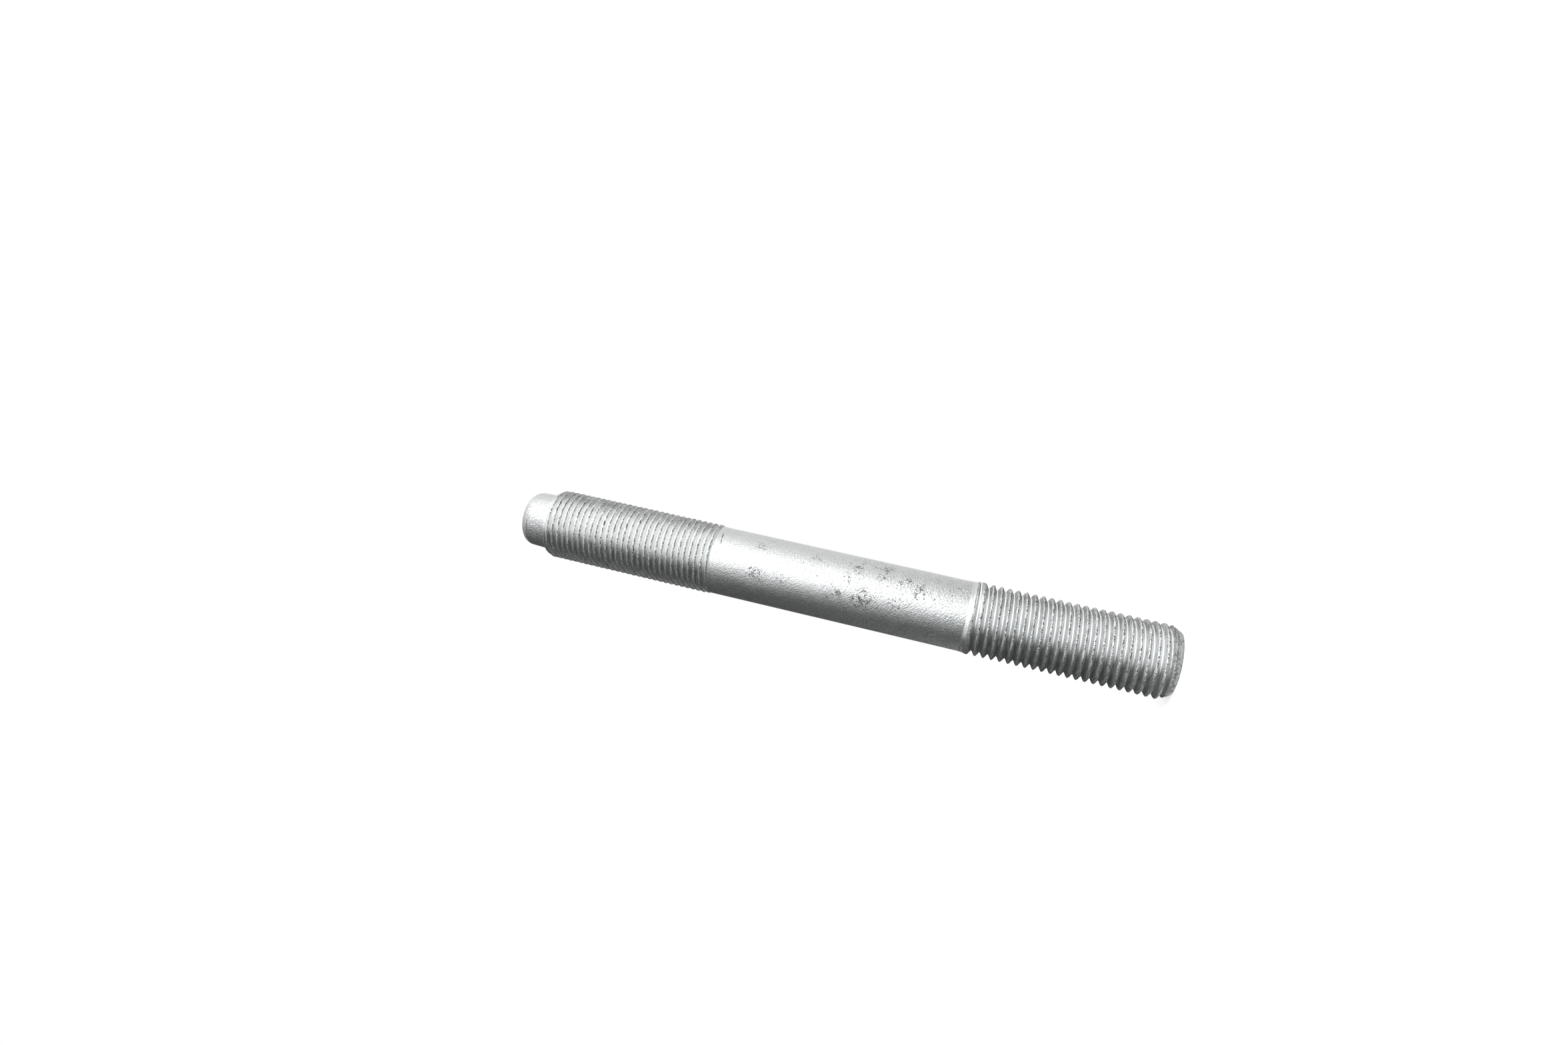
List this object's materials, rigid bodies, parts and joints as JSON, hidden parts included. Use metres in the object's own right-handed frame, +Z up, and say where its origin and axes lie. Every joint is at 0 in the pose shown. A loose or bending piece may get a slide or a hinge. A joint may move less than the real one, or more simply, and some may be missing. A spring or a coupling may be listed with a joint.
{
  "type": "wheel stud",
  "caption": "Round steel wheel stud with a coarser hub thread, a plain shank, a finer nut thread and a pilot nose.",
  "frame": {"origin": "centre of the flat end face of the hub thread, on the surface that the stud stands on", "axes": "+Z up the stud's axis, from the hub thread to the pilot nose"},
  "size_m": [0.018, 0.018, 0.166],
  "materials": {
    "zinc_steel": "satin silver-grey zinc coat, slightly grainy, with small dark pits and scratches"
  },
  "bodies": {
    "root": {"stud": "zinc_steel"}
  },
  "joints": []
}
